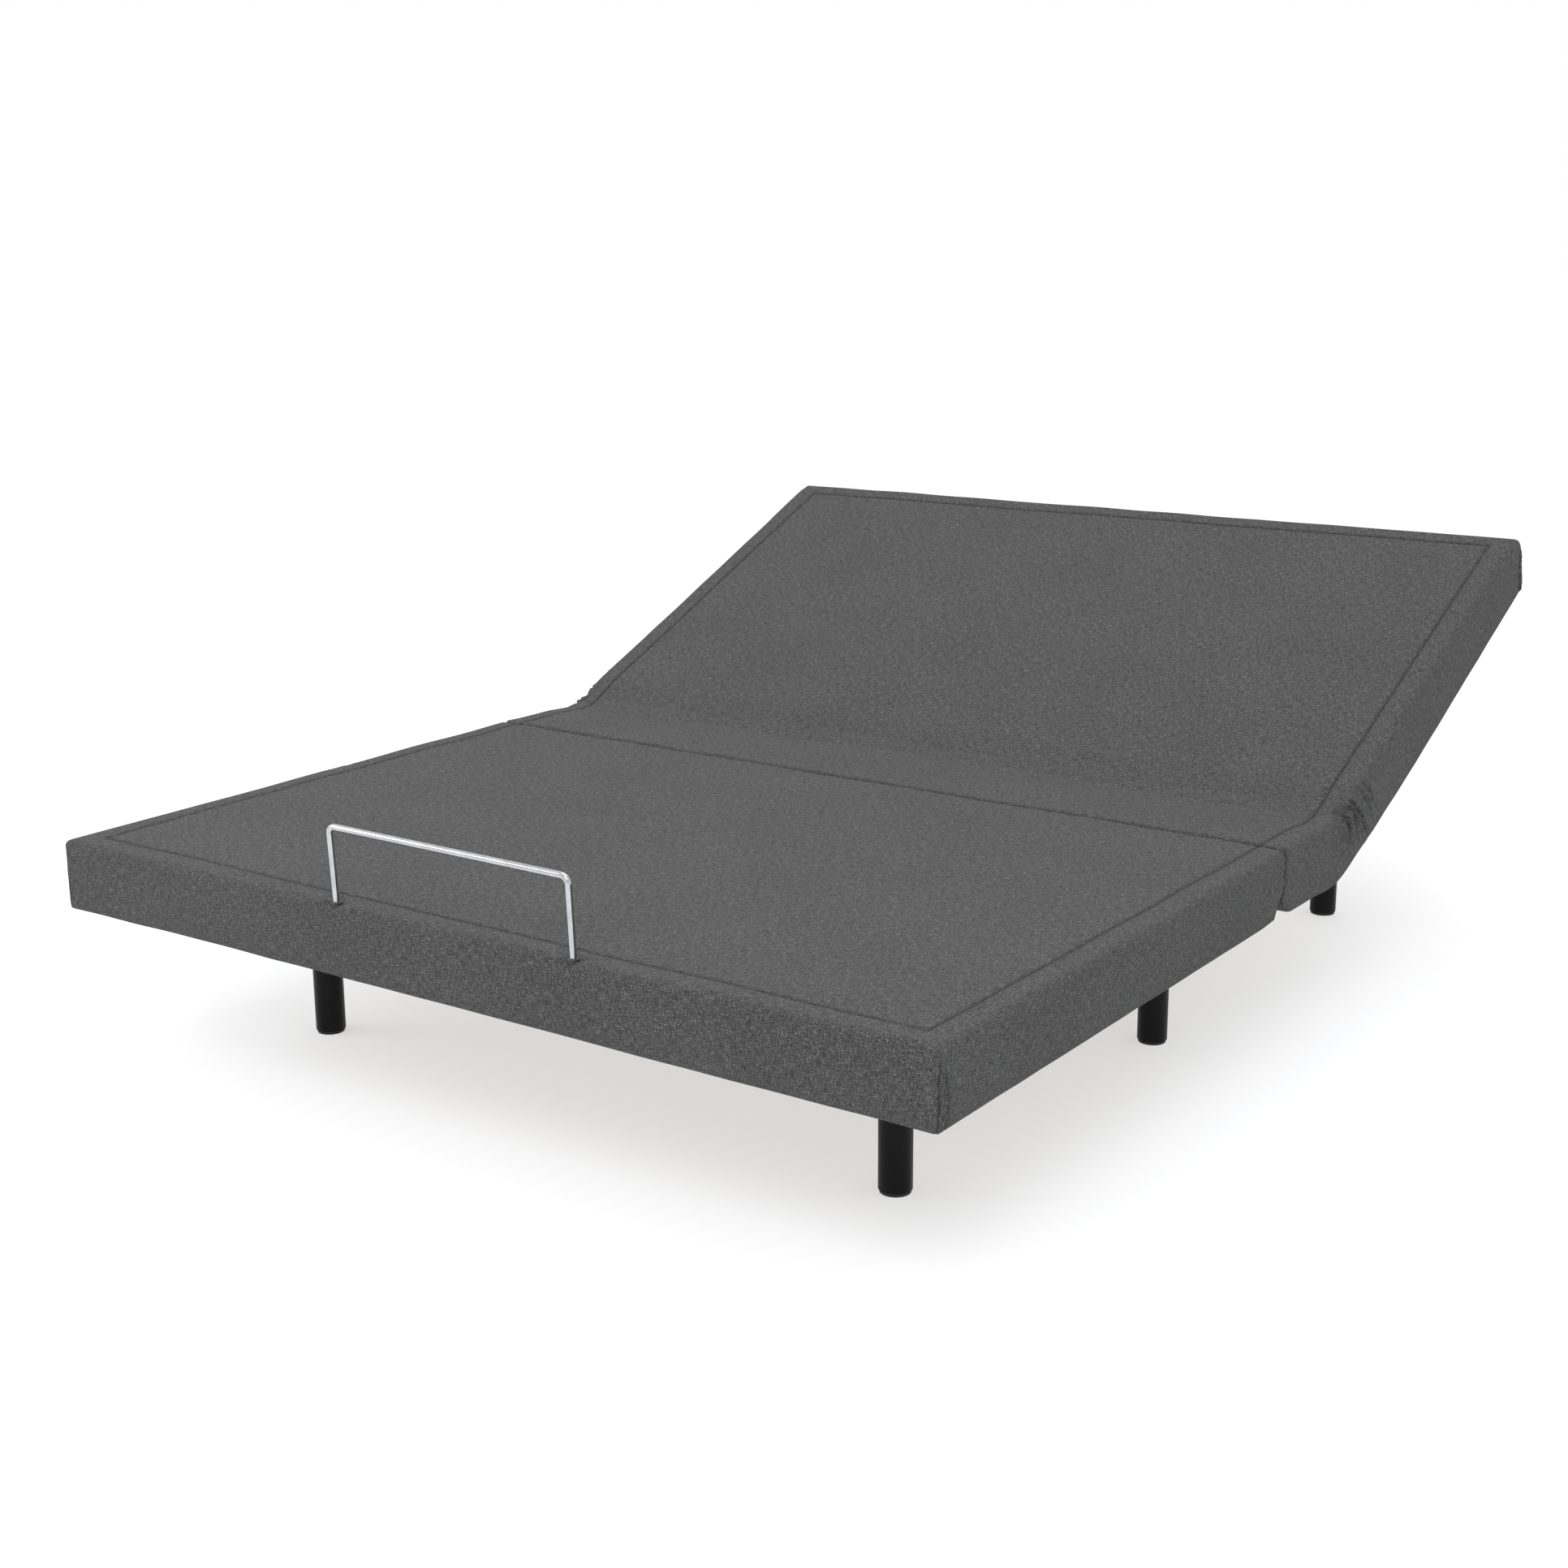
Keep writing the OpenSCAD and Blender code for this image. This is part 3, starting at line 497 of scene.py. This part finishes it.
    def seam_shade(self, x, y, z):
        """Darkness of the sewn lines, plus painted shade in the creases, in the hollow beside the lapped
        ridge and around the retainer bar's feet, from 0 to 1.
        """
        side, closed = HALF_WIDTH - np.abs(x), (self.closed - y) * self.out
        corner = bell(side - closed + seam_wander(x, z), 0.0012) * (np.minimum(side, closed) < 0.006)
        corner = corner * (z < DECK_TOP - 0.014)
        border = bell(np.minimum(side, closed) - BORDER, 0.0022) * (z > DECK_TOP - 0.004)
        shade = np.maximum(0.95 * corner, 0.75 * border)
        # painted shade in the creases, darker where they sink deeper
        sink, _ = self.wrinkles(1, y, z)
        shade = np.maximum(shade, np.clip(sink / 0.0075, 0, 0.60) * (side < 0.020))
        # painted shade along the hollow on the shadow side of the lapped ridge
        _, beside = self.lap(closed, height_share(z))
        shade = np.maximum(shade, 0.45 * beside * (side < 0.004))
        # painted shade around the retainer bar's feet, where the cloth is drawn in
        for foot in self.bar_feet:
            away = np.sqrt((x - foot.x) ** 2 + (y - foot.y) ** 2 + (z - DECK_TOP) ** 2)
            shade = np.maximum(shade, 0.9 * bell(away, 0.0085))
        return shade

    def cells(self):
        """Grid lines, and which cells between them are filled."""
        half = HALF_WIDTH
        inner = half - PAD
        marks = np.array([half, half - LAP, inner, half - BORDER])
        side_stops = [*-marks, *marks]
        xs = graded(sorted(side_stops), 0.0014, 0.013)
        end_stops = [self.low, self.high, self.open_end + self.out * HINGE_REACH,
                     self.open_end + self.out * self.gap["rebate"],
                     *(self.closed - self.out * np.array([LAP, PAD, BORDER]))]
        fold_y = self.fold["at"].y
        creased = (fold_y + self.fold["from"], fold_y + self.fold["to"])
        ys = graded(sorted(end_stops), 0.0014, 0.010, creased)
        zs = graded([SIDE_BOTTOM, LINING, NOTCH_TOP, DECK_TOP], 0.0016, 0.0040)
        x, y, z = np.meshgrid(*[(g[1:] + g[:-1]) / 2 for g in (xs, ys, zs)], indexing="ij")
        closed, opened = self.depth_y(y)
        wall = (np.abs(x) > inner) | (closed < PAD)
        filled = wall | (z > LINING)
        # room under the open end for the hinges, and for the next board when the hinges open
        notched = (opened < self.gap["rebate"]) & (np.abs(x) < inner)
        for hinge in self.hinge_xs:
            notched |= (np.abs(x - hinge) < HINGE_HALF) & (opened < HINGE_REACH)
        filled &= ~(notched & (z < NOTCH_TOP))
        return xs, ys, zs, filled

    def build(self):
        xs, ys, zs, filled = self.cells()
        shape = (len(xs), len(ys), len(zs))
        padded = np.pad(filled, 1)
        quads, places = [], []
        for axis in range(3):
            others = [a for a in range(3) if a != axis]
            before = np.moveaxis(padded, axis, 0)[:-1]
            after = np.moveaxis(padded, axis, 0)[1:]
            for sign, skin in ((1, before & ~after), (-1, ~before & after)):
                i, j, k = np.nonzero(skin)
                corners = []
                order = ((0, 0), (1, 0), (1, 1), (0, 1))
                if (sign > 0) == (axis == 1):
                    order = order[::-1]
                for dj, dk in order:
                    index = [None, None, None]
                    index[axis], index[others[0]], index[others[1]] = i, j - 1 + dj, k - 1 + dk
                    corners.append(np.ravel_multi_index(index, shape))
                quads.append(np.stack(corners, 1))
                places.append(np.full(len(i), axis))
        quads, places = np.concatenate(quads), np.concatenate(places)
        used, quads = np.unique(quads, return_inverse=True)
        quads = quads.reshape(-1, 4)
        i, j, k = np.unravel_index(used, shape)
        flat = np.stack([xs[i], ys[j], zs[k]], 1)
        placed = self.bent(self.rounded_off(flat))
        mesh = bpy.data.meshes.new(self.name)
        mesh.from_pydata(placed.tolist(), [], quads.tolist())
        # per point: the sewn lines' darkness plus painted shade, by which the cloth material is darkened
        mesh.attributes.new("seam_and_shade", "FLOAT", "POINT").data.foreach_set(
            "value", self.seam_shade(*flat.T).astype(np.float32))
        self.lay_cloth(mesh, flat, quads, places)
        smooth(mesh, 55)
        return new_object(self.name, mesh, CLOTH)

    def rounded_off(self, flat):
        """Moves the outer points, and the lining's points that would stick out, onto the surface of
        inside(), along rays from a core well within."""
        reach = self.REACH
        lows, highs = flat.min(0), flat.max(0)
        outer = ((flat == lows) | (flat == highs)).any(1) | (self.inside(*flat.T) < 0)
        points = flat[outer]
        core = np.clip(points, lows + reach, highs - reach)
        near, far = np.zeros(len(points)), np.full(len(points), self.FAR)
        for _ in range(26):  # halvings: to well under a micrometre
            middle = (near + far) / 2
            within = self.inside(*(core + middle[:, None] * (points - core)).T) > 0
            near, far = np.where(within, middle, near), np.where(within, far, middle)
        result = flat.copy()
        result[outer] = core + near[:, None] * (points - core)
        return result

    def bent(self, points):
        """The flat points bent by the fold's resting angle, with weights that ease from 0 to 1 across the
        fold zone.
        """
        fold, angle = self.fold["at"], self.fold["angle"]
        if not angle:
            return points
        along = np.array([math.cos(angle / 2), math.sin(angle / 2)])
        offset = points[:, 1:] - np.array([fold.y, fold.z])
        weight = step(offset[:, 0], -FOLD_ZONE, FOLD_ZONE)
        # a point's weight depends on where the bend takes it, so it is found in a few rounds
        for _ in range(12):
            turn = weight * angle
            turned = np.stack([offset[:, 0] * np.cos(turn) - offset[:, 1] * np.sin(turn),
                               offset[:, 0] * np.sin(turn) + offset[:, 1] * np.cos(turn)], 1)
            weight = 0.5 * weight + 0.5 * step(turned @ along, -FOLD_ZONE, FOLD_ZONE)
        result = points.copy()
        result[:, 1:] = turned + np.array([fold.y, fold.z])
        return result

    def lay_cloth(self, mesh, flat, quads, places):
        """Where each face lies on the cloth it was cut from, in metres, with the joins at the seams."""
        corner = flat[quads]
        x, y, z = corner[..., 0], corner[..., 1], corner[..., 2]
        centre = corner.mean(1)
        side, closed = HALF_WIDTH - np.abs(centre[:, 0]), (self.closed - centre[:, 1]) * self.out
        over_side = DECK_TOP + HALF_WIDTH - np.abs(x)
        over_end = DECK_TOP + (self.closed - y) * self.out
        band = np.minimum(side, closed) < BORDER
        on_side = (places == 0) | ((places == 2) & band & (side <= closed))
        on_end = (places == 1) | ((places == 2) & band & (closed < side))
        first = np.where(on_side[:, None], y, np.where(on_end[:, None], x, y + DECK_SHIFT))
        second = np.where((places == 2)[:, None],
                          np.where(on_side[:, None], over_side, np.where(on_end[:, None], over_end, x)), z)
        layer = mesh.uv_layers.new(name="cloth")
        layer.uv.foreach_set("vector", np.stack([first, second], 2).astype(np.float32).ravel())

    def attach(self, piece):
        """Bakes the piece's placement into its points, where it stays."""
        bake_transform(piece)

    def stitches(self, name):
        """A row of lockstitches just outside the border seam."""
        inset = BORDER - 0.0060
        half = HALF_WIDTH - inset
        start, end = self.open_end + self.out * 0.016, self.closed - self.out * inset
        corners = [(-half, start), (-half, end), (half, end), (half, start)]
        verts, faces = [], []
        ring = [(math.cos(a), math.sin(a)) for a in np.arange(6) * math.tau / 6]
        for (x0, y0), (x1, y1) in zip(corners[:-1], corners[1:]):
            length = math.hypot(x1 - x0, y1 - y0)
            dx, dy = (x1 - x0) / length, (y1 - y0) / length
            for n in range(1, int(length / STITCH_PITCH)):
                cx, cy = x0 + dx * n * STITCH_PITCH, y0 + dy * n * STITCH_PITCH
                base = len(verts)
                for t, radius, lift in ((-1, 0.12, -0.0004), (-0.55, 0.8, 0.0001), (0, 1, 0.0003),
                                        (0.55, 0.8, 0.0001), (1, 0.12, -0.0004)):
                    for c, s in ring:
                        reach, wide = t * STITCH_HALF, THREAD_WIDE * radius * c
                        verts.append((cx + dx * reach - dy * wide, cy + dy * reach + dx * wide,
                                      lift + THREAD_HIGH * radius * s))
                for a in range(4):
                    faces += [(base + a * 6 + b, base + a * 6 + (b + 1) % 6,
                               base + a * 6 + 6 + (b + 1) % 6, base + a * 6 + 6 + b) for b in range(6)]
                faces += [tuple(base + b for b in range(5, -1, -1)),
                          tuple(base + 24 + b for b in range(6))]
        points = np.array(verts)
        points[:, 2] += DECK_TOP + self.deck_bulge(points[:, 0], points[:, 1])
        mesh = bpy.data.meshes.new(name)
        mesh.from_pydata(self.bent(points).tolist(), [], faces)
        smooth(mesh, 60)
        return new_object(name, mesh, THREAD)


def bar_feet():
    """The two places where the retainer bar goes into the foot end."""
    low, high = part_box("retainer_bar")
    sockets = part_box("retainer_sockets")
    y = (sockets[0].y + sockets[1].y) / 2 - 0.001
    return [Vector((x, y, 0)) for x in (low.x + BAR_RADIUS, high.x - BAR_RADIUS)]


def crease_list(fold_y, rows):
    """Creases given by their upper and lower points, from the fold and from the deck's top."""
    return [((fold_y + a, DECK_TOP + b), (fold_y + c, DECK_TOP + d), bow, width, depth)
            for a, b, c, d, bow, width, depth in rows]


def covers():
    """Both covers and their stitching. Each stands for the plain pads and foams inside it."""
    fold = {"at": HEAD_FOLD, "angle": TILT, "foot_body": "frame", "head_body": "head_section",
            "furrow": 0.0026, "from": -0.01, "to": 0.15}
    creases = crease_list(HEAD_FOLD.y, [
        (0.008, 0.005, 0.056, -0.006, -0.002, 0.0038, 0.0052),
        (0.018, 0.004, 0.044, -0.066, 0.004, 0.0034, 0.0068),
        (0.047, 0.001, 0.067, -0.072, 0.006, 0.0026, 0.0040),
        (0.058, 0.003, 0.103, -0.092, 0.001, 0.0034, 0.0056),
        (0.092, -0.002, 0.127, -0.076, 0.003, 0.0026, 0.0026),
        (0.110, -0.002, 0.139, -0.058, 0.002, 0.0030, 0.0028),
        (0.000, -0.014, 0.016, -0.058, 0.002, 0.0048, 0.0018),
    ])
    gap = {"lean": -0.013, "from": 0.016, "to": 0.052, "lift": 0.021, "round_under": 0.032,
           "round_top": 0.007, "rebate": 0.0}
    head = Cover("head_seat_cover", HEAD_END, SEAT_START + 0.008, 400, fold, gap, creases, TOP_HINGES)
    knee = {"at": KNEE, "angle": 0.0, "foot_body": "foot_section", "head_body": "thigh_section",
            "furrow": 0.0012, "from": -0.02, "to": 0.03}
    creases = crease_list(KNEE.y, [
        (-0.012, 0.000, -0.008, -0.055, 0.001, 0.0070, 0.0008),
        (0.026, 0.000, 0.020, -0.050, 0.001, 0.0065, 0.0006),
    ])
    gap = {"lean": 0.015, "from": 0.012, "to": 0.043, "lift": 0.004, "round_under": 0.013,
           "round_top": 0.013, "rebate": 0.013}
    foot = Cover("thigh_foot_cover", FOOT_Y, THIGH_END + 0.013, 900, knee, gap, creases, TOP_HINGES,
                 bar_feet())
    stood_for = {
        head.name: ["seat_foam", "seat_side_pads", "head_foam", "head_side_pads", "head_end_pad"],
        foot.name: ["thigh_foam", "thigh_side_pads", "foot_foam", "foot_side_pads", "foot_end_pad"],
    }
    for one in (head, foot):
        piece = one.build()
        one.attach(piece)
        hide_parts(*stood_for[one.name])
        one.attach(one.stitches(one.name.replace("cover", "stitching")))


# ---------------------------------------------------------------- small fittings under the base
def add_block(shape, centre, size):
    place = Matrix.Translation(centre) @ Matrix.Diagonal((*size, 1))
    bmesh.ops.create_cube(shape, size=1.0, matrix=place)


def add_screw(shape, centre):
    """A domed screw head that faces down."""
    for radius, depth in ((0.0040, 0.0016), (0.0026, 0.0026)):
        bmesh.ops.create_cone(shape, cap_ends=True, segments=20, radius1=radius * 0.8, radius2=radius,
                              depth=depth, matrix=Matrix.Translation(centre))


def box_fittings():
    """Ribbed lids under the two electrical boxes, and the screws that hold them."""
    for node in ("control_box", "power_supply"):
        low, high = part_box(node)
        middle, size = (low + high) / 2, high - low
        lid, screws = bmesh.new(), bmesh.new()
        add_block(lid, (middle.x, middle.y, low.z - 0.0005), (size.x - 0.016, size.y - 0.016, 0.0020))
        for n in range(-3, 4):
            rib = (middle.x + n * 0.009, middle.y, low.z - 0.0022)
            add_block(lid, rib, (0.0030, size.y - 0.040, 0.0030))
        for sign_x in (-1, 1):
            for sign_y in (-1, 1):
                add_screw(screws, (middle.x + sign_x * (size.x / 2 - 0.015),
                                   middle.y + sign_y * (size.y / 2 - 0.015), low.z - 0.0016))
        finished(node + "_lid", lid, PLASTIC, "frame")
        finished(node + "_screws", screws, ZINC, "frame")


# ---------------------------------------------------------------- materials and edges of the CAD nodes
NODE_PAINTS = {
    "foot_board thigh_board seat_board head_board": PLY,
    "retainer_bar": CHROME,
    "leg_foot_left leg_foot_right leg_middle_left": LEG_BLACK,
    "leg_middle_right leg_head_left leg_head_right": LEG_BLACK,
    "side_rail_left side_rail_right end_cross_tubes drop_cross_tubes headboard_plates leg_plates": STEEL,
    "head_torque_tube head_lift_arms thigh_torque_tube thigh_lift_arms": STEEL,
    "foot_links actuator_brackets": STEEL,
    "foot_hinge_leaves thigh_hinge_leaves seat_hinge_leaves head_hinge_leaves hinge_pins": ZINC,
    "foot_link_brackets leg_studs frame_bolts actuator_tubes": ZINC,
    "head_actuator_rod thigh_actuator_rod": ALLOY,
    "head_roller_left head_roller_right thigh_roller_left thigh_roller_right": NYLON,
    "leg_glides deck_bumpers": RUBBER,
    "retainer_sockets thigh_tracks head_tracks seat_spacers tube_bearings": PLASTIC,
    "actuator_gearboxes actuator_motors control_box power_supply": PLASTIC,
    "drive_leads": CABLE,
}
EDGE_WIDTH = {"side_rail_left": 0.004, "side_rail_right": 0.004, "end_cross_tubes": 0.004,
              "drop_cross_tubes": 0.004, "control_box": 0.006, "power_supply": 0.006,
              "actuator_gearboxes": 0.006, "leg_glides": 0.0015, "tube_bearings": 0.003}


def dress(node, material):
    """Paints a CAD node and softens its sharp edges."""
    piece = frame["nodes"][node]
    piece.data.materials.clear()
    piece.data.materials.append(material)
    weld = piece.modifiers.new("weld", "WELD")
    weld.merge_threshold = 0.00001
    bevel = piece.modifiers.new("bevel", "BEVEL")
    bevel.width = EDGE_WIDTH.get(node, 0.0008)
    bevel.segments = 3 if node in EDGE_WIDTH else 2
    bevel.limit_method = "ANGLE"
    bevel.angle_limit = math.radians(40)
    bevel.use_clamp_overlap = True
    piece.data.shade_smooth()
    piece.modifiers.new("normals", "WEIGHTED_NORMAL").keep_sharp = True


def dress_all():
    for nodes, material in NODE_PAINTS.items():
        for node in nodes.split():
            dress(node, material)


# ---------------------------------------------------------------- stage, lights and camera
def stage():
    floor_mesh = bpy.data.meshes.new("floor")
    size = 30.0
    floor_mesh.from_pydata([(-size, -size, 0), (size, -size, 0), (size, size, 0), (-size, size, 0)], [],
                           [(0, 1, 2, 3)])
    paint = Paint("floor_white", base_color=(0.44, 0.45, 0.47, 1), roughness=0.9, specular_ior_level=0.0,
                  emission_color=(1, 1, 1, 1), emission_strength=0.56)
    new_object("floor", floor_mesh, paint.material)

    world = bpy.data.worlds.new("studio")
    bpy.context.scene.world = world
    world.use_nodes = True
    world.node_tree.nodes["Background"].inputs["Color"].default_value = (1, 1, 1, 1)
    world.node_tree.nodes["Background"].inputs["Strength"].default_value = 1.0

    def softbox(name, place, aim, size, power):
        data = bpy.data.lights.new(name, "AREA")
        data.shape, data.size, data.energy = "SQUARE", size, power
        lamp = bpy.data.objects.new(name, data)
        bpy.context.scene.collection.objects.link(lamp)
        lamp.location = place
        lamp.rotation_euler = (Vector(aim) - Vector(place)).to_track_quat("-Z", "Y").to_euler()

    softbox("key", (2.6, -4.0, 4.2), (0, 0, 0.3), 2.4, 110)
    softbox("fill", (-4.0, -3.0, 2.6), (0, -0.2, 0.3), 2.4, 84)
    softbox("top", (0.0, 0.6, 5.0), (0, 0, 0), 4.0, 60)


def camera():
    """The camera stands off the foot-right corner, a little above the deck."""
    azimuth, elevation, roll = math.radians(35.40), math.radians(14.37), math.radians(-0.41)
    back = Vector((math.sin(azimuth) * math.cos(elevation), -math.cos(azimuth) * math.cos(elevation),
                   math.sin(elevation)))
    right = Vector((math.cos(azimuth), math.sin(azimuth), 0))
    up = back.cross(right)
    turned = math.cos(roll) * right + math.sin(roll) * up
    upright = math.cos(roll) * up - math.sin(roll) * right
    data = bpy.data.cameras.new("camera")
    data.sensor_width = 36.0
    data.lens = 51.0
    made = bpy.data.objects.new("camera", data)
    bpy.context.scene.collection.objects.link(made)
    place = Vector((1.958, FOOT_Y - 1.978, 1.234))
    facing = Matrix((turned, upright, back)).transposed().to_4x4()
    made.matrix_world = Matrix.Translation(place) @ facing
    bpy.context.scene.camera = made
    bpy.context.scene.view_settings.view_transform = "Standard"


covers()
box_fittings()
dress_all()
stage()
camera()
